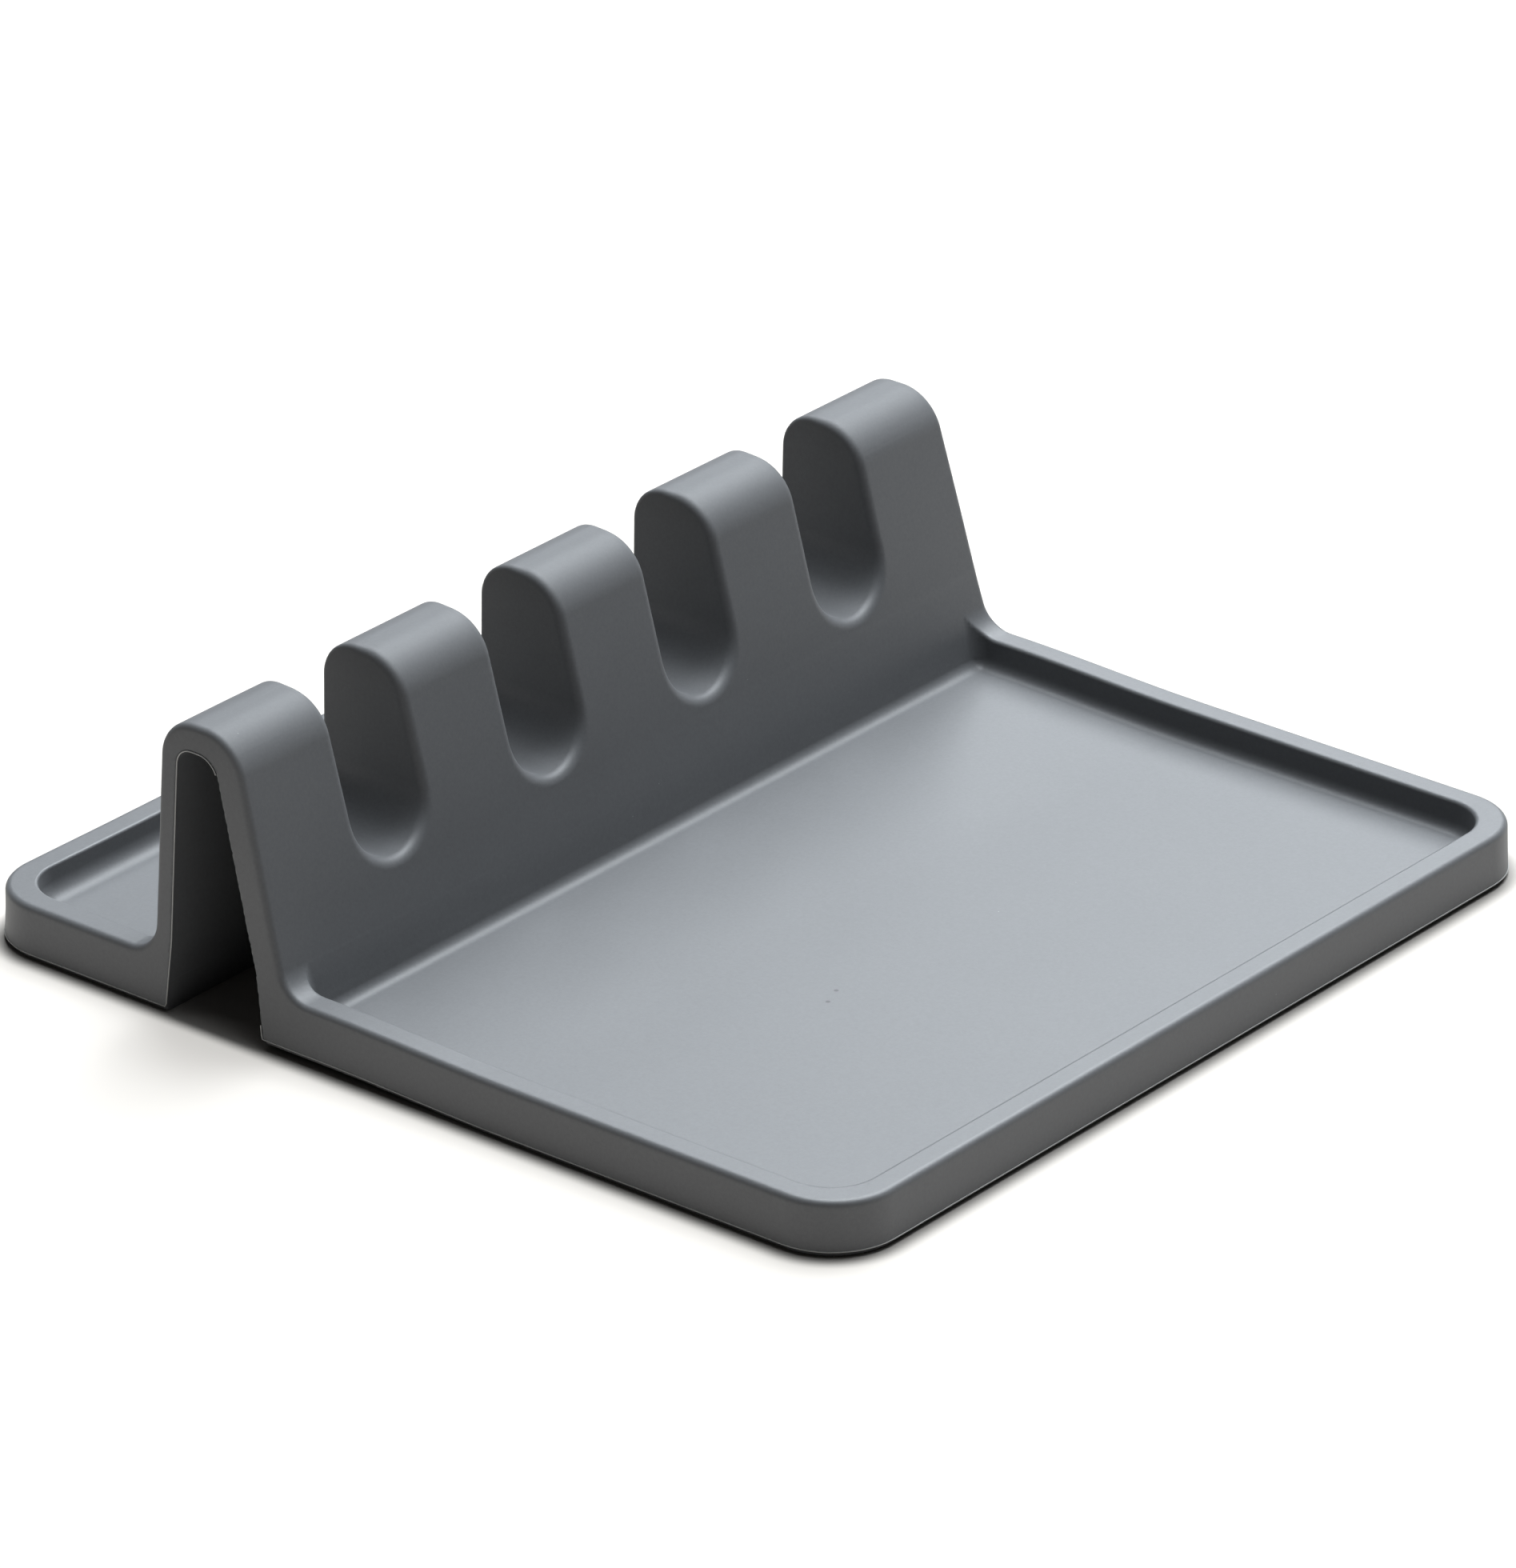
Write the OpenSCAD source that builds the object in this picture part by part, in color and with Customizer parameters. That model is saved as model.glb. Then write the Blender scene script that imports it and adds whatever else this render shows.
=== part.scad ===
// Spoon rest: one silicone moulding, a drip tray with a folded ridge that has four utensil slots.
// X runs along the ridge, -Y is the front edge of the drip tray, +Z is up.
// The origin is on the table, under the middle of the base.

/* [Base] */
// Width along the ridge, over the parting lip
base_w = 201; // [170:0.5:230]
// Depth from front to rear, over the parting lip
base_d = 199.6; // [180:0.2:230]
// Radius of the base's outer corners
corner_r = 13.5; // [11:0.5:20]
// Height of the rim above the table
rim_h = 10.4; // [8:0.2:13]
// Width of the flat land on top of the rim
rim_w = 5.2; // [4:0.1:8]
// Draft of the outer walls and of the ridge's end faces, in degrees
wall_draft = 3; // [1:0.5:4]

/* [Drip trays] */
// Thickness of the tray floor
floor_t = 4.6; // [3:0.1:6]
// Radius of the tray's inner corners at the top of the rim
tray_corner_r = 9.2; // [7:0.2:12]
// Fillet between the tray floor and the rim
floor_fillet = 2.2; // [1:0.1:3]
// Draft of the tray's inner walls, in degrees
tray_draft = 4; // [2:0.5:6]
// Length of the front tray, from the front edge to the foot of the ridge
front_tray_d = 125.4; // [112:0.2:136]

/* [Folded ridge] */
// Height of the ridge above the table
ridge_h = 56.5; // [50:0.5:62]
// Thickness of the whole ridge from front foot to rear foot, at the height of the rim
ridge_d = 30.6; // [29:0.2:36]
// Lean of the front face from upright, in degrees
front_lean = 15.5; // [13:0.5:18]
// Lean of the rear face from upright, in degrees
rear_lean = 1.2; // [0.6:0.2:2]
// Radius of the front shoulder
front_round = 9.3; // [7:0.1:11]
// Radius of the rear shoulder
rear_round = 7.5; // [5:0.1:9]
// Blend between the front face and the rim
front_blend = 6.5; // [4:0.5:9]
// Blend between the rear face and the rim
rear_blend = 6; // [4:0.5:9]
// Wall of the front face
front_wall = 5.9; // [4:0.1:7]
// Wall of the rear face
rear_wall = 3.9; // [3:0.1:5]
// Wall across the top
top_wall = 5; // [4:0.1:7]
// Inner radius of the fold at the front
fold_front_r = 4.6; // [3:0.1:5.5]
// Inner radius of the fold at the rear
fold_rear_r = 3; // [2:0.1:4]
// Height below which the hollow widens towards the table
knee_h = 14; // [12:0.5:16]
// How far the hollow widens to the front, from the knee to the table
front_spread = 2.3; // [1:0.1:3.5]
// How far the hollow widens to the rear, from the knee to the table
rear_spread = 1.3; // [0.6:0.1:2]

/* [Utensil slots] */
// Number of slots
slot_count = 4; // [3:1:4]
// Width of each slot
slot_w = 18.7; // [14:0.1:20]
// Distance from one slot to the next
slot_pitch = 42.9; // [36:0.1:46]
// Height of the slot's floor above the table
slot_floor = 24.4; // [20:0.2:28]
// Skin of the trough that carries each slot through the hollow ridge
trough_t = 3.4; // [2.5:0.1:4.5]

/* [Edges] */
// Radius of the softened edges of the rim and of the ridge's ends
edge_r = 1.1; // [0.8:0.1:1.8]
// Radius of the softened edges of the slots
slot_edge_r = 1.5; // [1.1:0.1:2.2]
// How far the parting lip stands out of the wall
lip_out = 0.25; // [0.1:0.05:0.5]
// Thickness of the parting lip
lip_t = 0.4; // [0.2:0.1:0.6]
// Height of the parting lip above the table
lip_z = 0.9; // [0.6:0.1:1.5]

/* [Hidden] */
$fn = 96;
silicone_grey = [0.37, 0.39, 0.41];

// Small overlaps, so that no two surfaces only touch, and overruns of the cuts
kiss = 0.02;
skin_gap = 0.05;
edge_bite = 0.12;
edge_step = 0.05;
edge_lead = 2.2;
over = 1;
past = 6;

// Undercut below the lip, how far in and how high, as shares of the lip's height
foot_shares = [[1, 0], [0.25, 0.6], [0.125, 1]];
// Worn outer edge of the lip, as shares of its reach and of its thickness
lip_shares = [0.5, 0.75];
// Where the blend's wedge ends inside the ridge, as a share of its radius
blend_root_share = 1.3;

// Plan sizes of the wall at table level and of the tray mouths
wall_w = base_w - 2 * lip_out;
wall_d = base_d - 2 * lip_out;
wall_in = rim_h * tan(wall_draft);
front_y = -wall_d / 2 + wall_in;
end_x = wall_w / 2 - wall_in;
tray_w = 2 * (end_x - rim_w);
tray_d = 2 * (-front_y - rim_w);
tray_top = rim_h + 2 * max(front_blend, rear_blend);

// Side profile of the ridge, as lines and arcs in (y, z)
foot_y = front_tray_d - base_d / 2;
heel_y = foot_y + ridge_d;
function face_y(z) = foot_y + (z - rim_h) * tan(front_lean);
function back_y(z) = heel_y - (z - rim_h) * tan(rear_lean);
function normal(turn) = [cos(turn), sin(turn)];
front_turn = 180 - front_lean;
rear_turn = rear_lean;
front_c = [face_y(ridge_h - front_round) + front_round / cos(front_lean), ridge_h - front_round];
rear_c = [back_y(ridge_h - rear_round) - rear_round / cos(rear_lean), ridge_h - rear_round];
front_blend_c = [face_y(rim_h + front_blend) - front_blend / cos(front_lean), rim_h + front_blend];
rear_blend_c = [back_y(rim_h + rear_blend) + rear_blend / cos(rear_lean), rim_h + rear_blend];

// Hollow under the ridge
hollow_h = ridge_h - top_wall;
function hollow_front(z) = face_y(z) + front_wall / cos(front_lean);
function hollow_rear(z) = back_y(z) - rear_wall / cos(rear_lean);
fold_front_z = hollow_h - fold_front_r;
fold_rear_z = hollow_h - fold_rear_r;
fold_front_c = [hollow_front(fold_front_z) + fold_front_r / cos(front_lean), fold_front_z];
fold_rear_c = [hollow_rear(fold_rear_z) - fold_rear_r / cos(rear_lean), fold_rear_z];

// Slots
slot_r = slot_w / 2;
slot_z = slot_floor + slot_r;
slot_x = [for (i = [0 : slot_count - 1]) (i - (slot_count - 1) / 2) * slot_pitch];

// Every outline runs the same way round, so that pieces drawn on one plane merge into one face
function turns(p) = [for (i = [0 : len(p) - 1]) cross(p[i], p[(i + 1) % len(p)])];
function total(v, i = 0) = i < len(v) ? v[i] + total(v, i + 1) : 0;
function wound(p) = total(turns(p)) > 0 ? p : [for (i = [len(p) - 1 : -1 : 0]) p[i]];

echo(overall = [base_w, base_d, ridge_h], slot_centres = slot_x, tray = [tray_w, tray_d, rim_h - floor_t]);
echo(front_leg = hollow_front(rim_h) - foot_y, ridge_top_flat = rear_c[0] - front_c[0]);

// Turns a drawing in (y, z) into a bar along X, centred on the middle
module along_x(length) {
    rotate([90, 0, 90]) linear_extrude(length, center = true) children();
}

// Carries a drawing in (distance from the corner's axis, z) round a rounded rectangle
module around(w, d, r) {
    half_w = w / 2 - r;
    half_d = d / 2 - r;
    for (side = [0, 1]) mirror([side, 0, 0]) {
        translate([half_w, half_d, 0]) rotate([90, 0, 0]) linear_extrude(2 * half_d) children();
        for (end = [0, 1]) mirror([0, end, 0]) translate([half_w, half_d, 0])
            rotate_extrude(angle = 90) children();
    }
    for (end = [0, 1]) mirror([0, end, 0])
        translate([-half_w, half_d, 0]) rotate([90, 0, 90]) linear_extrude(2 * half_w) children();
}

// The moulding's outside before the trays are sunk: drafted walls, parting lip and undercut foot
module wall_section(top) {
    lip_top = lip_z + lip_t;
    foot = [for (share = foot_shares) [corner_r - lip_z * share[0], lip_z * share[1]]];
    polygon(wound(concat([[0, 0]], foot, [
        [corner_r + lip_out, lip_z], [corner_r + lip_out, lip_z + lip_t * lip_shares[1]],
        [corner_r + lip_out * lip_shares[0], lip_top], [corner_r - lip_top * tan(wall_draft), lip_top],
        [corner_r - top * tan(wall_draft), top], [0, top]
    ])));
}

module walls() {
    top = ridge_h + over;
    around(wall_w, wall_d, corner_r) wall_section(top);
    translate([corner_r - wall_w / 2, corner_r - wall_d / 2, 0])
        cube([wall_w - 2 * corner_r, wall_d - 2 * corner_r, top]);
}

// Side view of the whole moulding: rim, blends and folded ridge
module side_view() {
    f = front_round - kiss;
    r = rear_round - kiss;
    translate([-base_d, -past]) square([2 * base_d, rim_h + past]);
    polygon(wound([
        [face_y(0) + kiss / cos(front_lean), 0], front_c + f * normal(front_turn), front_c + [0, f],
        rear_c + [0, r], rear_c + r * normal(rear_turn), [back_y(0) - kiss / cos(rear_lean), 0]
    ]));
    translate(front_c) circle(front_round);
    translate(rear_c) circle(rear_round);
    blend(front_blend_c, front_blend, [face_y(rim_h), rim_h], -front_lean);
    blend(rear_blend_c, rear_blend, [back_y(rim_h), rim_h], 180 + rear_lean);
}

// Hollow corner between the rim's top and a face, its arc cut a little deep so that it crosses both
module blend(centre, r, corner, turn) {
    difference() {
        polygon(wound([
            [centre[0], rim_h - over], [centre[0], rim_h], centre + r * normal(turn),
            centre + (r + over) * normal(turn),
            [centre[0] + (corner[0] - centre[0]) * blend_root_share, rim_h - over]
        ]));
        translate(centre) circle(r + 2 * kiss);
    }
}

// Tray mouth as a plug: drafted sides and a round bottom edge
module tray_section() {
    deep = rim_h - floor_t;
    bottom_r = tray_corner_r - deep * tan(tray_draft);
    round_c = [bottom_r - floor_fillet + floor_fillet * tan(tray_draft), floor_t + floor_fillet];
    polygon(wound([
        [0, floor_t], [round_c[0], floor_t], round_c + (floor_fillet - kiss) * normal(-tray_draft),
        [tray_corner_r - kiss + (tray_top - rim_h) * tan(tray_draft), tray_top], [0, tray_top]
    ]));
    intersection() {
        translate(round_c) circle(floor_fillet);
        translate([0, floor_t]) square([2 * tray_corner_r, 2 * floor_fillet]);
    }
}

module tray_plug() {
    around(tray_w, tray_d, tray_corner_r) tray_section();
    translate([tray_corner_r - tray_w / 2, tray_corner_r - tray_d / 2, floor_t])
        cube([tray_w - 2 * tray_corner_r, tray_d - 2 * tray_corner_r, tray_top - floor_t]);
}

// The space in front of the ridge and the space behind it, each with a round foot
module tray_spaces() {
    foot_z = floor_t + floor_fillet;
    reach = floor_fillet + skin_gap;
    front_foot = [face_y(foot_z) - reach / cos(front_lean), foot_z];
    rear_foot = [back_y(foot_z) + reach / cos(rear_lean), foot_z];
    polygon(wound([
        [-base_d, 0], [front_foot[0], 0], front_foot, front_foot + floor_fillet * normal(-front_lean),
        [face_y(tray_top + over) - skin_gap / cos(front_lean), tray_top + over], [-base_d, tray_top + over]
    ]));
    translate(front_foot) circle(floor_fillet + kiss);
    polygon(wound([
        [base_d, 0], [rear_foot[0], 0], rear_foot, rear_foot + floor_fillet * normal(180 + rear_lean),
        [back_y(tray_top + over) + skin_gap / cos(rear_lean), tray_top + over], [base_d, tray_top + over]
    ]));
    translate(rear_foot) circle(floor_fillet + kiss);
}

// The hollow inside the fold, open below and at both ends
module hollow_view() {
    f = fold_front_r - kiss;
    r = fold_rear_r - kiss;
    polygon(wound([
        [hollow_front(knee_h) - front_spread, -over],
        [hollow_front(knee_h) + kiss, knee_h], fold_front_c + f * normal(front_turn),
        fold_front_c + [0, f], fold_rear_c + [0, r], fold_rear_c + r * normal(rear_turn),
        [hollow_rear(knee_h) - kiss, knee_h], [hollow_rear(knee_h) + rear_spread, -over]
    ]));
    translate(fold_front_c) circle(fold_front_r);
    translate(fold_rear_c) circle(fold_rear_r);
}

// A U in (x, z), straight above and half round below
module slot_view(r) {
    translate([0, slot_z]) circle(r);
    translate([kiss - r, slot_z]) square([2 * (r - kiss), ridge_h]);
}

module through(r) {
    for (x = slot_x) translate([x, foot_y - past, 0]) rotate([90, 0, 0]) mirror([0, 0, 1])
        linear_extrude(ridge_d + 2 * past) slot_view(r);
}

// Section of the cut that softens an edge: first axis out of the face, second axis into the piece.
// The face rises by tilt as it runs into the piece.
module edge_section(soft_r, tilt) {
    deep = soft_r - edge_bite;
    centre = [-deep * (1 - sin(tilt)) / cos(tilt), deep];
    difference() {
        translate([centre[0], -over]) square([over - centre[0], deep + over]);
        translate(centre) circle(soft_r);
    }
}

// The straight cuts lie a step deeper than the outer arcs and a step higher than the hollow arcs,
// and each runs a little way into the next, so that the softened edge is one chain of clean crossings
module edge_line(soft_r, from, to, tilt, lead) {
    run = to - from;
    translate(from) rotate([0, 0, atan2(run[1], run[0])]) translate([-lead[0], 0, 0])
        rotate([90, 0, 90]) linear_extrude(norm(run) + lead[0] + lead[1]) edge_section(soft_r, tilt);
}

module edge_arc(soft_r, centre, r, from, to, tilt) {
    translate(centre) rotate([0, 0, from]) rotate_extrude(angle = to - from)
        translate([r, 0]) edge_section(soft_r, tilt);
}

module edge_hollow_arc(soft_r, centre, r, from, to, tilt) {
    spare = edge_lead / r * 180 / PI;
    translate(centre) rotate([0, 0, from - spare]) rotate_extrude(angle = to - from + 2 * spare)
        translate([r + 2 * edge_step, 0]) mirror([1, 0]) edge_section(soft_r, tilt);
}

// Half round at the bottom of a slot, on a face whose outward direction is turn
module edge_cup(at, turn) {
    spare = edge_lead / slot_r * 180 / PI;
    translate(at - edge_step * normal(turn)) rotate([0, 0, turn - 90]) rotate([-90, 0, 0])
        rotate([0, 0, (turn > 90 ? 90 : -90) - spare]) rotate_extrude(angle = 180 + 2 * spare)
            translate([slot_r + edge_step - kiss, 0]) mirror([1, -1]) edge_section(slot_edge_r, 0);
}

// Over the top of the ridge, from a point on the front face to a point on the rear face, in a plane
// that leans by tilt
module shoulder_edges(soft_r, front_from, rear_to, tilt) {
    function lean(p) = [p[0], p[1] / cos(tilt)];
    f = front_round - edge_step;
    r = rear_round - edge_step;
    edge_line(soft_r, lean(front_from), lean(front_c + f * normal(front_turn)), tilt, [0, edge_lead]);
    edge_arc(soft_r, lean(front_c), front_round, 90, front_turn, tilt);
    edge_line(soft_r, lean(front_c + [0, f]), lean(rear_c + [0, r]), tilt, [edge_lead, edge_lead]);
    edge_arc(soft_r, lean(rear_c), rear_round, rear_turn, 90, tilt);
    edge_line(soft_r, lean(rear_c + r * normal(rear_turn)), lean(rear_to), tilt, [edge_lead, 0]);
}

module slot_edges() {
    front_low = slot_z - slot_r * (1 - cos(front_lean));
    rear_low = slot_z - slot_r * (1 - cos(rear_lean));
    front_at = [face_y(front_low), front_low];
    rear_at = [back_y(rear_low), rear_low];
    front_from = front_at - edge_step * normal(front_turn);
    rear_to = rear_at - edge_step * normal(rear_turn);
    for (x = slot_x) translate([x, 0, 0]) rotate([90, 0, 90]) {
        for (side = [0, 1]) mirror([0, 0, side]) translate([0, 0, slot_r - kiss])
            shoulder_edges(slot_edge_r, front_from, rear_to, 0);
        edge_cup(front_at, front_turn);
        edge_cup(rear_at, rear_turn);
    }
}

module end_edges() {
    front_top = front_blend_c + (front_blend + edge_step) * normal(-front_lean);
    rear_top = rear_blend_c + (rear_blend + edge_step) * normal(180 + rear_lean);
    function lean(p) = [p[0], p[1] / cos(wall_draft)];
    for (side = [0, 1]) mirror([side, 0, 0]) translate([-wall_w / 2, 0, 0]) rotate([0, wall_draft, 0])
        rotate([90, 0, 90]) {
            edge_hollow_arc(edge_r, lean(front_blend_c), front_blend, -90, -front_lean, wall_draft);
            shoulder_edges(edge_r, front_top, rear_top, wall_draft);
            edge_hollow_arc(edge_r, lean(rear_blend_c), rear_blend, 180 + rear_lean, 270, wall_draft);
        }
}

// The rim's outer top edge, everywhere but beside the ridge
module rim_edges() {
    at = [corner_r - wall_in, rim_h] - edge_step * normal(90 + wall_draft);
    intersection() {
        around(wall_w, wall_d, corner_r) translate(at) rotate(90 + wall_draft)
            edge_section(edge_r, wall_draft);
        along_x(2 * base_w) {
            translate([front_blend_c[0] - base_d, rim_h - past]) square([base_d, 2 * past]);
            translate([rear_blend_c[0], rim_h - past]) square([base_d, 2 * past]);
        }
    }
}

module silicone_body() {
    color(silicone_grey)
    difference() {
        intersection() {
            walls();
            along_x(base_w + past) side_view();
        }
        intersection() {
            tray_plug();
            along_x(base_w) tray_spaces();
        }
        difference() {
            along_x(base_w + past) hollow_view();
            through(slot_r + trough_t);
        }
        through(slot_r);
        slot_edges();
        end_edges();
        rim_edges();
    }
}

silicone_body();
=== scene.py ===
import math
import bpy
import bmesh
import numpy as np
from mathutils import Matrix, Vector


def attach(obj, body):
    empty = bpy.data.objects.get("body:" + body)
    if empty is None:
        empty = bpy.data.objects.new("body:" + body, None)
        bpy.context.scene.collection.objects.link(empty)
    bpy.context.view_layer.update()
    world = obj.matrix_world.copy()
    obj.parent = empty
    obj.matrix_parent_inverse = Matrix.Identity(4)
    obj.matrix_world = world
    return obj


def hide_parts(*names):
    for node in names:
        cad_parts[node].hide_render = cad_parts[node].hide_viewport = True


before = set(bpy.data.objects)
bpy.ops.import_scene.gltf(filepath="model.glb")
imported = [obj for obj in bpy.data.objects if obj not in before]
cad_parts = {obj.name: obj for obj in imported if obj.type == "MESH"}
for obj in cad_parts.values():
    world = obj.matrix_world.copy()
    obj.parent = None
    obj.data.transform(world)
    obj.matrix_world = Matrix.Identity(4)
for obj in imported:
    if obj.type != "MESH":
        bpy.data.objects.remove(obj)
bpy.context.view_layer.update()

MM = 0.001

# The moulding's sizes, in millimetres
WALL_W, WALL_D, CORNER_R = 200.5, 199.1, 13.5
RIM_H, RIM_W, FLOOR_T = 10.4, 5.2, 4.6
WALL_DRAFT, TRAY_DRAFT = math.radians(3), math.radians(4)
TRAY_CORNER_R, FLOOR_FILLET = 9.2, 2.2
FOOT_Y, HEEL_Y, RIDGE_H = 25.6, 56.2, 56.5
FRONT_LEAN, REAR_LEAN = math.radians(15.5), math.radians(1.2)
FRONT_ROUND, REAR_ROUND = 9.3, 7.5
FRONT_BLEND, REAR_BLEND = 6.5, 6.0
FRONT_WALL, REAR_WALL, TOP_WALL = 5.9, 3.9, 5.0
FOLD_FRONT_R, FOLD_REAR_R, KNEE_H = 4.6, 3.0, 14.0
SLOT_R, SLOT_PITCH, SLOT_FLOOR = 9.35, 42.9, 24.4
TROUGH_T, TROUGH_R = 3.4, 2.0
EDGE_R, POCKET_CORNER_R, REAR_FILLET = 1.25, 2.6, 3.3
SLOT_FRONT_R, SLOT_LOW_R, SLOT_REAR_R, MOUTH_R = 1.6, 2.3, 0.7, 0.25
SLOT_EDGE_FROM, SLOT_EDGE_RUN = 44.0, 8.0
LIP_Z, LIP_T, FOOT_STEP = 1.05, 0.2, 0.7

WALL_IN = RIM_H * math.tan(WALL_DRAFT)
TRAY_W = WALL_W - 2 * (WALL_IN + RIM_W)
TRAY_D = WALL_D - 2 * (WALL_IN + RIM_W)
SLOT_Z = SLOT_FLOOR + SLOT_R
RIDGE_MID, HOLLOW_MID = 46.7, 47.5
SIN_FRONT, SIN_REAR = math.sin(FRONT_LEAN), math.sin(REAR_LEAN)

# The hollow widens below its knees: slope of each side there, with the cosine of its lean
KNEE_FRONT = FOOT_Y + (KNEE_H - RIM_H) * math.tan(FRONT_LEAN) + FRONT_WALL / math.cos(FRONT_LEAN)
KNEE_REAR = HEEL_Y - (KNEE_H - RIM_H) * math.tan(REAR_LEAN) - REAR_WALL / math.cos(REAR_LEAN)
FLARE_FRONT, FLARE_FRONT_COS = 0.153, 0.9885
FLARE_REAR, FLARE_REAR_COS = 0.0867, 0.9963

# The slack of the soft moulding: how far each shape goes, and the spans over which it eases in or out
LIFT, LIFT_FRONT, LIFT_BACK, LIFT_TOP = 0.92, (-24, 18), (33.5, 46), (10, 22)
SINK_NEAR, SINK_MORE, SINK_ALONG, SINK_UP = 0.16, 0.26, (20, 95), (32, 52)
OUT_RIM, OUT_PER_MM, OUT_UP, OUT_ALONG = 0.2, 0.0141, (3, 12), (60, 95)
REAR_OUT, REAR_ALONG, REAR_DEEP, REAR_UP = 0.25, (-88, -60), (47, 52), (5, 12)
RIM_EDGE_R, RIM_EDGE_PER_MM = 0.62, 0.0018

# Cosine between the normals of the wall and of what it meets, and the range that probed cosines are kept in
WALL_TO_RIM = 0.04
LEAST_TURN, MOST_TURN = -0.5, 0.9995


# Small shapes that the soft moulding has taken
def eased(a, b, v):
    """0 up to a, 1 from b, and a smooth rise between."""
    t = np.clip((v - a) / (b - a), 0, 1)
    return t * t * (3 - 2 * t)


def lift(y, z):
    """Height that the moulding stands off the table beside the front of the ridge."""
    along = eased(*LIFT_FRONT, y) * (1 - eased(*LIFT_BACK, y))
    return LIFT * along * (1 - eased(*LIFT_TOP, z))


def sinking(x, z):
    """Height that the top of the ridge has sunk, more towards the far end."""
    return (SINK_NEAR + SINK_MORE * eased(*SINK_ALONG, x)) * eased(*SINK_UP, z)


def far_end_out(x, z):
    """Distance that the far end stands out, since it has less draft than the near end."""
    return (OUT_RIM * eased(*OUT_UP, z) + OUT_PER_MM * np.maximum(z - OUT_UP[1], 0)) * eased(*OUT_ALONG, x)


def rear_out(x, y, z):
    """Distance that the rear of the ridge stands out at the near end."""
    return REAR_OUT * (1 - eased(*REAR_ALONG, x)) * eased(*REAR_DEEP, y) * eased(*REAR_UP, z)


def rim_edge_r(x):
    """Radius of the rim's inner edge, which is crisper at the near end."""
    return RIM_EDGE_R + RIM_EDGE_PER_MM * x


# The moulding as one field of distances
def rounded(a, b, r, k=0.0):
    """Meeting of two walls, negative inside both, with its outer edge rounded.

    k is the cosine between the two walls' normals.
    """
    u, v = a + r, b + r
    p = (u - k * v) / (1 - k * k)
    q = (v - k * u) / (1 - k * k)
    arc = np.sqrt(np.maximum(p * u + q * v, 1e-9)) - r
    return np.where((p > 0) & (q > 0), arc, np.maximum(a, b))


def filleted(a, b, r, k=0.0):
    """Union of two bodies, with the hollow corner between them filled to a radius."""
    return -rounded(-a, -b, r, k)


def in_plan(x, y, w, d, r):
    """Distance from the corner axes of a rounded rectangle."""
    qx = np.abs(x) - (w / 2 - r)
    qy = np.abs(y) - (d / 2 - r)
    return np.hypot(np.maximum(qx, 0), np.maximum(qy, 0)) + np.minimum(np.maximum(qx, qy), 0)


def ridge_field(x, y, z):
    """The folded ridge as an endless bar along X."""
    front = (FOOT_Y + (z - RIM_H) * math.tan(FRONT_LEAN) - y) * math.cos(FRONT_LEAN)
    rear = (y - HEEL_Y + (z - RIM_H) * math.tan(REAR_LEAN)) * math.cos(REAR_LEAN)
    top = z - RIDGE_H
    return np.where(y < RIDGE_MID, np.maximum(rounded(front, top, FRONT_ROUND, SIN_FRONT), rear),
                    np.maximum(rounded(rear, top, REAR_ROUND, SIN_REAR), front))


def side_field(x, y, z):
    """Rim and ridge seen from the side, with the blends between them."""
    ridge = ridge_field(x, y, z)
    return np.where(y < RIDGE_MID, filleted(z - RIM_H, ridge, FRONT_BLEND, SIN_FRONT),
                    filleted(z - RIM_H, ridge, REAR_BLEND, SIN_REAR))


def tray_field(x, y, z):
    """Everything but the trays: outside their drafted mouths, under their floors, or in the ridge."""
    plug = (in_plan(x, y, TRAY_W, TRAY_D, TRAY_CORNER_R) - TRAY_CORNER_R
            - (z - RIM_H) * math.tan(TRAY_DRAFT)) * math.cos(TRAY_DRAFT)
    fillet = np.where(y < RIDGE_MID, FLOOR_FILLET, REAR_FILLET)
    pocket = rounded(plug, FLOOR_T - z, fillet, math.sin(TRAY_DRAFT))
    u, v = plug + fillet, FLOOR_T - z + fillet
    up = np.where(np.minimum(u, v) > 0, v / np.maximum(np.hypot(u, v), 1e-6), v > u)
    lean = np.where(y < RIDGE_MID, SIN_FRONT, SIN_REAR)
    return filleted(-pocket, ridge_field(x, y, z), POCKET_CORNER_R, up * lean)


def tilt_between(fa, a, fb, b, x, y, z, h=0.02):
    """Cosine between the normals of two fields, found by probing a step h away."""
    dot = aa = bb = 0
    for dx, dy, dz in ((h, 0, 0), (0, h, 0), (0, 0, h)):
        ga, gb = fa(x + dx, y + dy, z + dz) - a, fb(x + dx, y + dy, z + dz) - b
        dot, aa, bb = dot + ga * gb, aa + ga * ga, bb + gb * gb
    return np.clip(dot / np.sqrt(np.maximum(aa * bb, 1e-16)), LEAST_TURN, MOST_TURN)


def hollow_field(y, z):
    """The hollow under the fold."""
    front = np.maximum((KNEE_FRONT + (z - KNEE_H) * math.tan(FRONT_LEAN) - y) * math.cos(FRONT_LEAN),
                       (KNEE_FRONT + (z - KNEE_H) * FLARE_FRONT - y) * FLARE_FRONT_COS)
    rear = np.minimum((y - KNEE_REAR + (z - KNEE_H) * math.tan(REAR_LEAN)) * math.cos(REAR_LEAN),
                      (y - KNEE_REAR + (z - KNEE_H) * FLARE_REAR) * FLARE_REAR_COS)
    top = z - (RIDGE_H - TOP_WALL)
    return np.where(y < HOLLOW_MID, np.maximum(rounded(front, top, FOLD_FRONT_R, SIN_FRONT), rear),
                    np.maximum(rounded(rear, top, FOLD_REAR_R, SIN_REAR), front))


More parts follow.
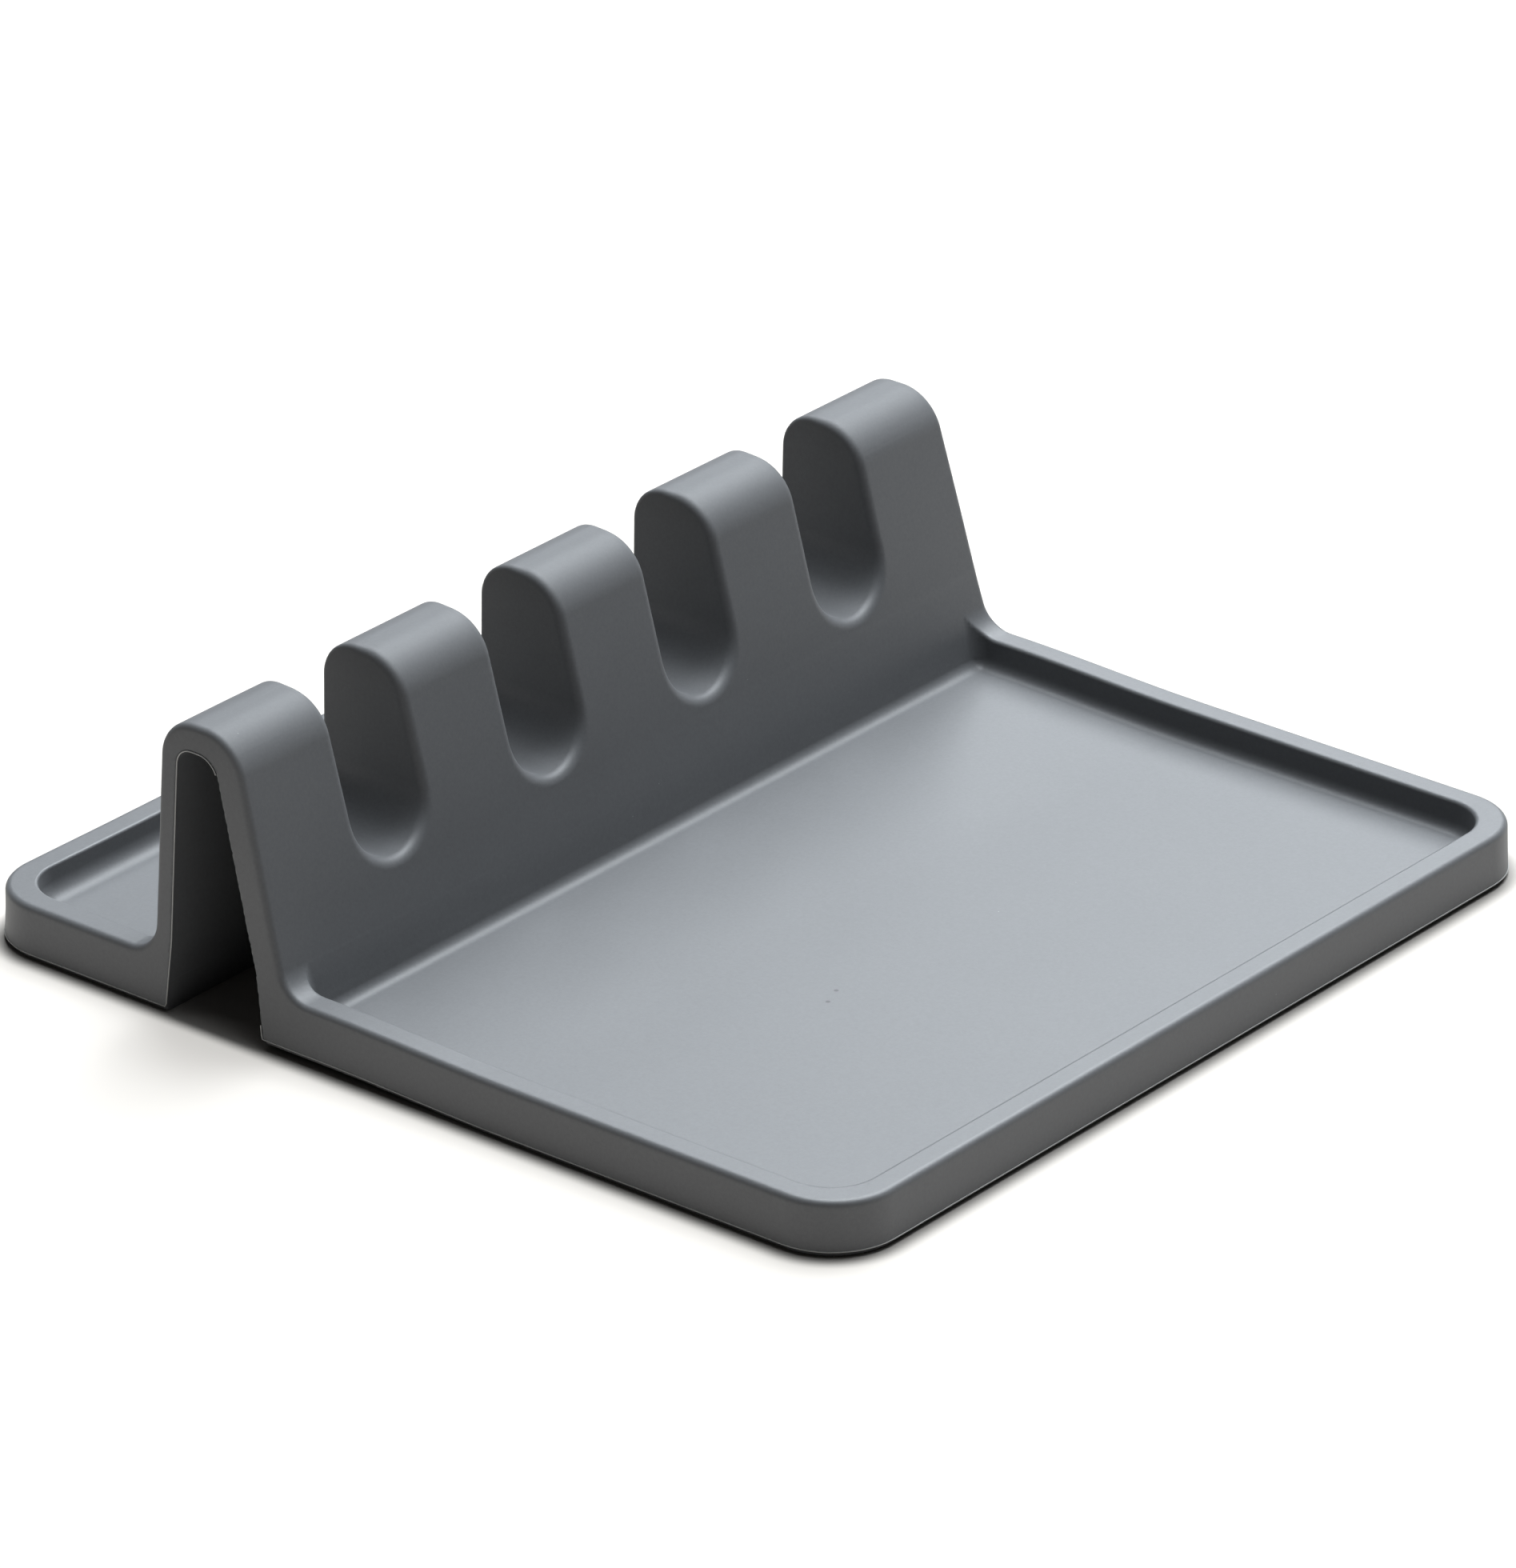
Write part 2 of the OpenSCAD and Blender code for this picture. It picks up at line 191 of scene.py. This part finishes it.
def moulding(x, y, z, fine=True):
    """Distance to the skin of the silicone moulding, negative inside the silicone."""
    z = z - lift(y, z) + sinking(x, z)
    x = x - far_end_out(x, z)
    y = y - rear_out(x, y, z)

    # walls, trays and ridge
    step = FOOT_STEP * (1 - eased(LIP_Z - LIP_T, LIP_Z, z))
    plan = in_plan(x, y, WALL_W, WALL_D, CORNER_R) - CORNER_R
    wall = (plan + z * math.tan(WALL_DRAFT)) * math.cos(WALL_DRAFT) + step
    side, tray = side_field(x, y, z), tray_field(x, y, z)
    if fine:
        turn = tilt_between(side_field, side, tray_field, tray, x, y, z)
        upper = rounded(side, tray, rim_edge_r(x), turn)
    else:
        upper = np.maximum(side, tray)
    f = rounded(upper, wall, EDGE_R, WALL_TO_RIM)

    # four slots, and the hollow with their troughs crossing it
    xa = np.abs(x)
    dx = np.where(xa < SLOT_PITCH, xa - SLOT_PITCH / 2, xa - 1.5 * SLOT_PITCH)
    dz = np.minimum(z - SLOT_Z, 0)
    reach = np.hypot(dx, dz)
    slot = reach - SLOT_R
    f = rounded(f, -rounded(hollow_field(y, z), TROUGH_T - slot, TROUGH_R), MOUTH_R)
    turn = -dz / np.maximum(reach, 1e-6) * np.where(y < RIDGE_MID, SIN_FRONT, SIN_REAR)
    back_share = np.clip((y - SLOT_EDGE_FROM) / SLOT_EDGE_RUN, 0, 1)
    front_r = SLOT_LOW_R + (SLOT_FRONT_R - SLOT_LOW_R) * eased(SLOT_FLOOR + 1, SLOT_Z, z)
    f = rounded(f, -slot, front_r + (SLOT_REAR_R - front_r) * back_share, turn)
    return np.maximum(f, -z)


def slope(x, y, z, h=0.01):
    """The field's gradient at a list of points."""
    return np.stack([moulding(x + h, y, z) - moulding(x - h, y, z),
                     moulding(x, y + h, z) - moulding(x, y - h, z),
                     moulding(x, y, z + h) - moulding(x, y, z - h)], axis=1) / (2 * h)


# The skin as a mesh. The grid's runs are (start, end, step), fine where the form turns.
# It is shifted a hair, so that no sample falls on a flat face.
RUNS_X = ((0, 8.2, 2.7), (8.2, 34.7, 0.6), (34.7, 51.1, 2.7), (51.1, 77.6, 0.6), (77.6, 84.5, 2.3),
          (84.5, 94.2, 0.55), (94.2, 101.2, 0.4))
RUNS_Y = ((-100.2, -92.0, 0.4), (-92.0, -84.0, 0.55), (-84.0, 14.0, 7.0), (14.0, 62.5, 0.5),
          (62.5, 84.0, 4.3), (84.0, 92.0, 0.55), (92.0, 100.2, 0.4))
RUNS_Z = ((-0.4, 1.7, 0.17), (1.7, 3.9, 0.55), (3.9, 7.5, 0.4), (7.5, 9.6, 0.42), (9.6, 11.0, 0.2),
          (11.0, 57.0, 0.5))
GRID_SHIFT = (0.013, 0.017, 0.019)
FIT_ROUNDS, FIT_REACH, LEAST_SLOPE = 3, 0.6, 0.2
FLAT_ANGLE = math.radians(0.35)


def spaced(runs):
    """Grid lines from runs of (start, end, step)."""
    out = []
    for a, b, step in runs:
        n = max(1, int(round((b - a) / step)))
        out += list(np.linspace(a, b, n + 1)[:-1])
    out.append(runs[-1][1])
    return np.array(out)


def grid_lines():
    """Grid lines along X, Y and Z; those along X are the same on both sides."""
    right = spaced(RUNS_X)
    xs = np.concatenate([-right[:0:-1], right])
    return [run + shift for run, shift in zip((xs, spaced(RUNS_Y), spaced(RUNS_Z)), GRID_SHIFT)]


def crossing_points(cells, F, lines):
    """Mean of the places where each cell's edges cross the skin."""
    total = np.zeros((len(cells), 3))
    hits = np.zeros(len(cells))
    for axis in range(3):
        others = [k for k in range(3) if k != axis]
        for o1 in (0, 1):
            for o2 in (0, 1):
                p = cells.copy()
                p[:, others[0]] += o1
                p[:, others[1]] += o2
                q = p.copy()
                q[:, axis] += 1
                fa, fb = F[tuple(p.T)].astype(float), F[tuple(q.T)].astype(float)
                cross = (fa < 0) != (fb < 0)
                t = np.where(cross, fa / np.where(cross, fa - fb, 1), 0)
                pos = np.stack([lines[k][p[:, k]] for k in range(3)], axis=1)
                pos[:, axis] += t * (lines[axis][q[:, axis]] - lines[axis][p[:, axis]])
                total[cross] += pos[cross]
                hits[cross] += 1
    return total / hits[:, None]


def skin_quads(S, index):
    """One quad round each grid edge that crosses the skin, facing outward."""
    quads = []
    for axis in range(3):
        o1, o2 = [k for k in range(3) if k != axis]
        A = np.moveaxis(S, axis, 0)
        change = np.argwhere(A[:-1] != A[1:])
        base = np.empty_like(change)
        base[:, axis] = change[:, 0]
        base[:, o1], base[:, o2] = change[:, 1], change[:, 2]
        base = base[(base[:, o1] > 0) & (base[:, o2] > 0)]
        flip = S[tuple(base.T)]
        if axis == 1:
            flip = ~flip
        ring = []
        for s1, s2 in ((0, 0), (-1, 0), (-1, -1), (0, -1)):
            c = base.copy()
            c[:, o1] += s1
            c[:, o2] += s2
            ring.append(index[tuple(c.T)])
        ring = np.stack(ring, axis=1)
        ring[~flip] = ring[~flip][:, ::-1]
        quads.append(ring)
    return np.concatenate(quads)


def skin_mesh():
    """Points and quads of the field's zero level."""
    lines = grid_lines()
    Y, Z = np.meshgrid(lines[1], lines[2], indexing="ij")
    F = np.empty([len(line) for line in lines], dtype=np.float32)
    for i, x in enumerate(lines[0]):
        F[i] = moulding(np.full_like(Y, x), Y, Z, False)
    S = F < 0
    nx, ny, nz = F.shape
    count = np.zeros((nx - 1, ny - 1, nz - 1), dtype=np.int8)
    for a, b, c in [(a, b, c) for a in (0, 1) for b in (0, 1) for c in (0, 1)]:
        count += S[a:nx - 1 + a, b:ny - 1 + b, c:nz - 1 + c]
    cells = np.argwhere((count > 0) & (count < 8))
    index = np.full(count.shape, -1, dtype=np.int64)
    index[tuple(cells.T)] = np.arange(len(cells))
    v = crossing_points(cells, F, lines)
    for _ in range(FIT_ROUNDS):
        g = slope(*v.T)
        step = (moulding(*v.T) / np.maximum((g * g).sum(1), LEAST_SLOPE))[:, None] * g
        v -= np.clip(step, -FIT_REACH, FIT_REACH)
    v[:, 2] = np.maximum(v[:, 2], 0)
    return v, skin_quads(S, index)


def dressed_mesh(name):
    """The skin with its flat faces merged and its shading taken from the field."""
    v, quads = skin_mesh()
    mesh = bpy.data.meshes.new(name)
    mesh.from_pydata((v * MM).tolist(), [], quads.tolist())
    bm = bmesh.new()
    bm.from_mesh(mesh)
    bmesh.ops.dissolve_limit(bm, angle_limit=FLAT_ANGLE, verts=bm.verts, edges=bm.edges)
    bm.to_mesh(mesh)
    bm.free()
    co = np.empty(len(mesh.vertices) * 3)
    mesh.vertices.foreach_get("co", co)
    n = slope(*(co.reshape(-1, 3) / MM).T)
    n /= np.maximum(np.linalg.norm(n, axis=1), 1e-9)[:, None]
    mesh.polygons.foreach_set("use_smooth", np.ones(len(mesh.polygons), dtype=bool))
    mesh.normals_split_custom_set_from_vertices(n.tolist())
    return mesh


# Node trees
class Value:
    """A number socket that takes Python's operators."""
    def __init__(self, tree, socket):
        self.tree, self.socket = tree, socket

    def math(self, operation, other=None, swap=False):
        """The result of a Math node on this value and another."""
        node = self.tree.nodes.new("ShaderNodeMath")
        node.operation = operation
        pair = (other, self) if swap else (self, other)
        for slot, item in enumerate(pair):
            if isinstance(item, Value):
                self.tree.links.new(item.socket, node.inputs[slot])
            elif item is not None:
                node.inputs[slot].default_value = item
        return Value(self.tree, node.outputs[0])

    def __add__(self, other):
        return self.math("ADD", other)

    def __radd__(self, other):
        return self.math("ADD", other, True)

    def __sub__(self, other):
        return self.math("SUBTRACT", other)

    def __rsub__(self, other):
        return self.math("SUBTRACT", other, True)

    def __mul__(self, other):
        return self.math("MULTIPLY", other)

    def __rmul__(self, other):
        return self.math("MULTIPLY", other, True)

    def __pow__(self, other):
        return self.math("POWER", other)


class Nodes:
    """A node tree whose nodes are added by type, settings and socket values."""
    def __init__(self, tree):
        self.tree = tree

    def node(self, kind, settings=None, **sockets):
        """A socket is given by its name with _ for spaces, or by i and its number."""
        node = self.tree.nodes.new(kind)
        for key, value in (settings or {}).items():
            setattr(node, key, value)
        for key, value in sockets.items():
            number = key[0] == "i" and key[1:].isdigit()
            slot = node.inputs[int(key[1:]) if number else key.replace("_", " ")]
            if isinstance(value, Value):
                value = value.socket
            if isinstance(value, bpy.types.NodeSocket):
                self.tree.links.new(value, slot)
            else:
                slot.default_value = value
        return node

    def value(self, socket):
        return Value(self.tree, socket)


class Finish(Nodes):
    """A material, with the nodes that several finishes use."""
    def __init__(self, name):
        self.material = bpy.data.materials.new(name)
        self.material.use_nodes = True
        super().__init__(self.material.node_tree)
        self.tree.nodes.clear()
        self.place = self.node("ShaderNodeTexCoord").outputs["Object"]

    def noise(self, scale, detail, rough):
        """Soft clouds or grain, fixed to the piece."""
        node = self.node("ShaderNodeTexNoise", {"noise_dimensions": "3D"}, Vector=self.place, Scale=scale,
                         Detail=detail, Roughness=rough)
        return self.value(node.outputs[0])

    def ranged(self, value, start, end, low, high):
        """low up to start, high from end, and a straight run between."""
        return self.node("ShaderNodeMapRange", Value=value, From_Min=start, From_Max=end, To_Min=low,
                         To_Max=high).outputs[0]

    def mixed(self, factor, a, b):
        """Colour a at 0 and colour b at 1."""
        a, b = [(*c, 1) if isinstance(c, tuple) else c for c in (a, b)]
        return self.node("ShaderNodeMix", {"data_type": "RGBA"}, Factor=factor, i6=a, i7=b).outputs[2]

    def surface(self, **sockets):
        """The finished material, from the sockets of its shader."""
        skin = self.node("ShaderNodeBsdfPrincipled", **sockets)
        self.node("ShaderNodeOutputMaterial", Surface=skin.outputs[0])
        return self.material


# Materials: each noise is its (scale, detail, roughness)
CLOUDS, FLECKS, GRAIN = (38.0, 4.0, 0.6), (1400.0, 3.0, 0.75), (2600.0, 2.0, 0.6)
CLOUD_SHARE, CLOUD_ROUGH = 0.3, 0.08
DUST_SCALE, DUST_EDGE, DUST_CORE = 100.0, 0.013, 0.007
DUST_COLOUR, DUST_SHARE = (0.4, 0.4, 0.4), 0.5
MARK_COLOUR, MARK_EDGE, MARK_CORE, MARK_SHARE = (0.02, 0.02, 0.02), 0.55 * MM, 0.3 * MM, 0.7
MOULD_MARKS = ((-30.5, -39.9, 4.6), (-26.2, -38.3, 4.6))
MATT_FROM, MATT_TO, MATT_LOW, MATT_TOP = 30 * MM, 55 * MM, -0.03, 0.1
# Painted shade: the silicone's colour darkened from 50 mm up to the top of the ridge, so that the lug tops
# come out darker than the trays' floors
RIDGE_TOP_SHADE_COLOUR, RIDGE_TOP_SHADE_FROM, RIDGE_TOP_SHADE_TO, RIDGE_TOP_SHADE_SHARE = (0.03, 0.03, 0.032), 50 * MM, 56 * MM, 0.16
GRAIN_STRENGTH, GRAIN_DEPTH = 0.12, 0.08 * MM
SILICONE_IOR = 1.45


def silicone_finish(name, dark, light, rough, marks=()):
    """Matt silicone with clouds, flecks, dust and mould marks, duller along the top of the ridge and
    darkened there by painted shade.
    """
    f = Finish(name)
    cloud, grain, fleck = f.noise(*CLOUDS), f.noise(*GRAIN), f.noise(*FLECKS)
    base = f.mixed(CLOUD_SHARE * cloud + (1 - CLOUD_SHARE) * fleck, dark, light)
    dust = f.node("ShaderNodeTexVoronoi", {"feature": "F1"}, Vector=f.place, Scale=DUST_SCALE)
    speck = f.ranged(dust.outputs["Distance"], DUST_EDGE, DUST_CORE, 0.0, DUST_SHARE)
    base = f.mixed(speck, base, DUST_COLOUR)
    for mark in marks:
        away = f.node("ShaderNodeVectorMath", {"operation": "DISTANCE"}, i0=f.place,
                      i1=tuple(c * MM for c in mark)).outputs["Value"]
        base = f.mixed(f.ranged(away, MARK_EDGE, MARK_CORE, 0.0, MARK_SHARE), base, MARK_COLOUR)
    height = f.node("ShaderNodeSeparateXYZ", Vector=f.place).outputs["Z"]
    matt = f.value(f.ranged(height, MATT_FROM, MATT_TO, MATT_LOW, MATT_TOP))
    # painted shade: darker colour mixed in towards the top of the ridge
    ridge_top_shade = f.ranged(height, RIDGE_TOP_SHADE_FROM, RIDGE_TOP_SHADE_TO, 0.0, RIDGE_TOP_SHADE_SHARE)
    base = f.mixed(ridge_top_shade, base, RIDGE_TOP_SHADE_COLOUR)
    bump = f.node("ShaderNodeBump", Strength=GRAIN_STRENGTH, Distance=GRAIN_DEPTH, Height=grain)
    return f.surface(Base_Color=base, Roughness=rough + CLOUD_ROUGH * (cloud - 0.5) + matt,
                     Normal=bump.outputs[0], IOR=SILICONE_IOR)


# The table's glow colour is painted light: an emission masked by the part's footprint, not a lamp, that
# paints out the part's shadow on the table.
TABLE_COLOUR, TABLE_PAINTED_GLOW, TABLE_ROUGH = (0.31, 0.29, 0.27), (0.54, 0.53, 0.51), 0.9
PAINTED_GLOW_FROM, PAINTED_GLOW_TO = 0.2 * MM, 4.0 * MM


def table_finish():
    """White table with painted light: an emission that is nil under the part and rises to full a few
    millimetres out from its footprint, painting out the part's shadow on the table except for a tight
    contact shadow.
    """
    f = Finish("white_table")
    plan = f.node("ShaderNodeSeparateXYZ", Vector=f.place).outputs
    past = [(f.value(plan[axis]).math("ABSOLUTE") - (size / 2 - CORNER_R) * MM).math("MAXIMUM", 0.0)
            for axis, size in (("X", WALL_W), ("Y", WALL_D))]
    away = (past[0] * past[0] + past[1] * past[1]) ** 0.5 - CORNER_R * MM
    # painted light: the emission fades out towards the part's footprint and paints the table white round it
    painted_glow = f.node("ShaderNodeMapRange", {"interpolation_type": "SMOOTHSTEP"}, Value=away,
                  From_Min=PAINTED_GLOW_FROM, From_Max=PAINTED_GLOW_TO).outputs[0]
    return f.surface(Base_Color=(*TABLE_COLOUR, 1), Roughness=TABLE_ROUGH,
                     Emission_Color=f.mixed(painted_glow, (0, 0, 0), TABLE_PAINTED_GLOW), Emission_Strength=1.0)


# Parting flash: the bead, the waves in its width, its path, and how near the mouth's edges it is trimmed off
BEAD_R, BEAD_SPACING, BEAD_OUT, BEAD_UP, BEAD_SIDES = 0.12, 0.9, 0.04, 0.08, 6
UNEVENNESS, WAVE_SCALE, WAVE_DETAIL, SEED = 0.3, 160.0, 2.0, 7.0
PATH_STEP, CORNER_POINTS, FRONT_POINTS, REAR_POINTS = 1.2, 13, 9, 7
TRIM_ASIDE, TRIM_UP, TRIM_BELOW_TOP = 4, 5, 3


def mouth_outline(z):
    """Edge of the hollow's mouth seen from the side, from the front leg's foot to the rear leg's."""
    top = RIDGE_H - TOP_WALL
    front = (KNEE_FRONT + (top - FOLD_FRONT_R - KNEE_H) * math.tan(FRONT_LEAN)
             + FOLD_FRONT_R / math.cos(FRONT_LEAN), top - FOLD_FRONT_R)
    rear = (KNEE_REAR - (top - FOLD_REAR_R - KNEE_H) * math.tan(REAR_LEAN)
            - FOLD_REAR_R / math.cos(REAR_LEAN), top - FOLD_REAR_R)
    arcs = ((front, FOLD_FRONT_R, np.linspace(math.pi - FRONT_LEAN, math.pi / 2, FRONT_POINTS)),
            (rear, FOLD_REAR_R, np.linspace(math.pi / 2, REAR_LEAN, REAR_POINTS)))
    fold = [(y + r * math.cos(a), h + r * math.sin(a)) for (y, h), r, turns in arcs for a in turns]
    return [(KNEE_FRONT + (z - KNEE_H) * FLARE_FRONT, z), (KNEE_FRONT, KNEE_H), *fold,
            (KNEE_REAR, KNEE_H), (KNEE_REAR - (z - KNEE_H) * FLARE_REAR, z)]


def flash_path():
    """The parting line in millimetres: along the foot of the walls and over each mouth of the hollow."""
    z = LIP_Z + BEAD_UP
    inset = z * math.tan(WALL_DRAFT) - BEAD_OUT
    hw, hd, r = WALL_W / 2 - inset, WALL_D / 2 - inset, CORNER_R - inset
    side = [(WALL_W / 2 - h * math.tan(WALL_DRAFT) + BEAD_OUT, y, h) for y, h in mouth_outline(z)]
    arc = [(hw - r + r * math.sin(a), -hd + r - r * math.cos(a), z)
           for a in np.linspace(0, math.pi / 2, CORNER_POINTS)]
    right = arc + side + [(x, -y, z) for x, y, z in reversed(arc)]
    loop = right + [(-x, y, h) for x, y, h in reversed(right)]
    path = []
    for a, b in zip(loop, loop[1:] + loop[:1]):
        n = max(1, int(math.dist(a, b) / PATH_STEP))
        path += [np.array(a) + (np.array(b) - np.array(a)) * i / n for i in range(n)]
    x, y, h = np.array(path).T
    x = x + far_end_out(x, h)
    h = h + lift(y, h) - sinking(x, h)
    # the bead is trimmed off the front side of the near mouth, which leaves one open line
    front_side = (x < 0) & (y < HOLLOW_MID - TRIM_ASIDE)
    trimmed = np.flatnonzero(front_side & (h > TRIM_UP) & (h < RIDGE_H - TOP_WALL - TRIM_BELOW_TOP))
    return np.roll(np.stack([x, y, h], axis=1), -trimmed[-1] - 1, axis=0)[:-len(trimmed)]


def bead_tree(material):
    """Geometry nodes that run a thin uneven bead along a line."""
    tree = bpy.data.node_groups.new("bead_along_line", "GeometryNodeTree")
    face = tree.interface
    face.new_socket("Line", in_out="INPUT", socket_type="NodeSocketGeometry")
    for name, value in (("Bead radius", BEAD_R * MM), ("Spacing", BEAD_SPACING * MM),
                        ("Unevenness", UNEVENNESS), ("Wave scale", WAVE_SCALE), ("Seed", SEED)):
        face.new_socket(name, in_out="INPUT", socket_type="NodeSocketFloat").default_value = value
    face.new_socket("Bead", in_out="OUTPUT", socket_type="NodeSocketGeometry")
    g = Nodes(tree)
    given = g.node("NodeGroupInput").outputs
    curve = g.node("GeometryNodeMeshToCurve", Mesh=given["Line"]).outputs["Curve"]
    even = g.node("GeometryNodeResampleCurve", {"mode": "LENGTH"}, Curve=curve,
                  Length=given["Spacing"]).outputs["Curve"]
    wave = g.value(g.node("ShaderNodeTexNoise", {"noise_dimensions": "4D"}, W=given["Seed"],
                          Scale=given["Wave scale"], Detail=WAVE_DETAIL).outputs[0])
    width = 1.0 + (wave - 0.5) * 2.0 * g.value(given["Unevenness"])
    sized = g.node("GeometryNodeSetCurveRadius", Curve=even, Radius=width).outputs["Curve"]
    ring = g.node("GeometryNodeCurvePrimitiveCircle", {"mode": "RADIUS"}, Resolution=BEAD_SIDES,
                  Radius=given["Bead radius"])
    bead = g.node("GeometryNodeCurveToMesh", Curve=sized, Profile_Curve=ring.outputs["Curve"],
                  Fill_Caps=True).outputs["Mesh"]
    smooth = g.node("GeometryNodeSetShadeSmooth", Geometry=bead, Shade_Smooth=True).outputs["Geometry"]
    whole = g.node("GeometryNodeRealizeInstances", Geometry=smooth).outputs["Geometry"]
    dressed = g.node("GeometryNodeSetMaterial", Geometry=whole, Material=material).outputs["Geometry"]
    g.node("NodeGroupOutput", Bead=dressed)
    return tree


def placed(name, data):
    """An object in the scene, at the origin."""
    result = bpy.data.objects.new(name, data)
    bpy.context.scene.collection.objects.link(result)
    return result


def bead_object(name, path, material, sizes):
    """The bead as a plain mesh, made by the tree from a line."""
    line = bpy.data.meshes.new(name + "_line")
    line.from_pydata((path * MM).tolist(), [(i, i + 1) for i in range(len(path) - 1)], [])
    carrier = placed(name + "_line", line)
    tree = bead_tree(material)
    modifier = carrier.modifiers.new("bead", "NODES")
    modifier.node_group = tree
    for socket in tree.interface.items_tree:
        if socket.in_out == "INPUT" and socket.name in sizes:
            modifier[socket.identifier] = sizes[socket.name]
    seen = carrier.evaluated_get(bpy.context.evaluated_depsgraph_get())
    mesh = bpy.data.meshes.new_from_object(seen)
    mesh.name = name
    carrier.modifiers.remove(modifier)
    bpy.data.objects.remove(carrier)
    return placed(name, mesh)


# The pieces
SLATE_DARK, SLATE_LIGHT, SLATE_ROUGH = (0.082, 0.0845, 0.088), (0.132, 0.135, 0.141), 0.52
# Painted highlight: the flash bead is the body's own silicone, coloured about three times lighter so that it
# shows as a bright line along the foot
FLASH_HIGHLIGHT_DARK, FLASH_HIGHLIGHT_LIGHT, FLASH_ROUGH = (0.33, 0.33, 0.32), (0.42, 0.42, 0.41), 0.45

body = placed("spoon_rest_moulding", dressed_mesh("spoon_rest_moulding"))
slate_finish = silicone_finish("silicone_slate", SLATE_DARK, SLATE_LIGHT, SLATE_ROUGH, MOULD_MARKS)
body.data.materials.append(slate_finish)
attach(body, "root")
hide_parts("silicone_body")

# the bead's lighter colour is a painted highlight
flash_highlight_finish = silicone_finish("silicone_flash_painted_highlight", FLASH_HIGHLIGHT_DARK, FLASH_HIGHLIGHT_LIGHT, FLASH_ROUGH)
flash = bead_object("parting_flash", flash_path(), flash_highlight_finish,
                    {"Bead radius": BEAD_R * MM, "Spacing": BEAD_SPACING * MM})
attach(flash, "root")

# Table
TABLE_HALF = 6
CORNERS = ((-1, -1), (1, -1), (1, 1), (-1, 1))

table_mesh = bpy.data.meshes.new("table")
table_mesh.from_pydata([(x * TABLE_HALF, y * TABLE_HALF, 0) for x, y in CORNERS], [], [(0, 1, 2, 3)])
table = placed("table", table_mesh)
table_mesh.materials.append(table_finish())

# Light: each box is (name, degrees round from +X, degrees above the table, side in metres, watts)
BOX_AWAY, BOX_COLOUR = 1.5, (0.945, 1.0, 1.045)
SOFT_BOXES = (("key_above", 10, 81, 0.8, 12.5), ("key_back_right", 36, 65, 0.7, 14.5),
              ("key_right", -6, 62, 0.8, 12.0), ("side_right", 6, 47, 0.7, 9.0),
              ("back_box", 36, 48, 0.7, 6.8), ("low_back", 30, 29, 0.4, 4.2),
              ("front_top", -80, 70, 0.8, 2.2))
ROOM_LIGHT = 0.03


def soft_box(name, azimuth, height, side, power):
    """A square lamp that faces the middle of the table."""
    azimuth, height = math.radians(azimuth), math.radians(height)
    data = bpy.data.lights.new(name, "AREA")
    data.shape, data.size, data.energy, data.color = "SQUARE", side, power, BOX_COLOUR
    lamp = placed(name, data)
    lamp.location = BOX_AWAY * Vector((math.cos(azimuth) * math.cos(height),
                                       math.sin(azimuth) * math.cos(height), math.sin(height)))
    lamp.rotation_euler = (-lamp.location).to_track_quat("-Z", "Y").to_euler()


for box in SOFT_BOXES:
    soft_box(*box)

world = bpy.data.worlds.new("studio")
world.use_nodes = True
room = world.node_tree.nodes["Background"].inputs
room["Color"].default_value, room["Strength"].default_value = (1, 1, 1, 1), ROOM_LIGHT
bpy.context.scene.world = world

# Camera, as fitted to the photograph, with lengths in millimetres: the focal length is also in pixels of
# the frame's longer side, and the point looked at lies off the base by steps across the view
SENSOR, FOCAL_PIXELS, FRAME_PIXELS = 36.0, 13134.8, 1960
AZIMUTH, ELEVATION, DISTANCE = math.radians(-50.84), math.radians(25.75), 1887.77
AIM_Y, AIM_RIGHT, AIM_UP = 0.7, -0.04, 20.87
NEAREST, FARTHEST = 100, 30000

camera_data = bpy.data.cameras.new("photo_camera")
camera = placed("photo_camera", camera_data)
camera_data.sensor_fit, camera_data.sensor_width = "AUTO", SENSOR
camera_data.lens = FOCAL_PIXELS * SENSOR / FRAME_PIXELS
right = Vector((math.cos(AZIMUTH), math.sin(AZIMUTH), 0))
back = Vector((math.sin(AZIMUTH) * math.cos(ELEVATION), -math.cos(AZIMUTH) * math.cos(ELEVATION),
               math.sin(ELEVATION)))
up = back.cross(right)
aim = Vector((0, AIM_Y, 0)) + right * AIM_RIGHT + up * AIM_UP
turn = Matrix((right, up, back)).transposed().to_4x4()
camera.matrix_world = Matrix.Translation((aim + back * DISTANCE) * MM) @ turn
camera_data.clip_start, camera_data.clip_end = NEAREST * MM, FARTHEST * MM
bpy.context.scene.camera = camera
bpy.context.scene.view_settings.view_transform = "Standard"
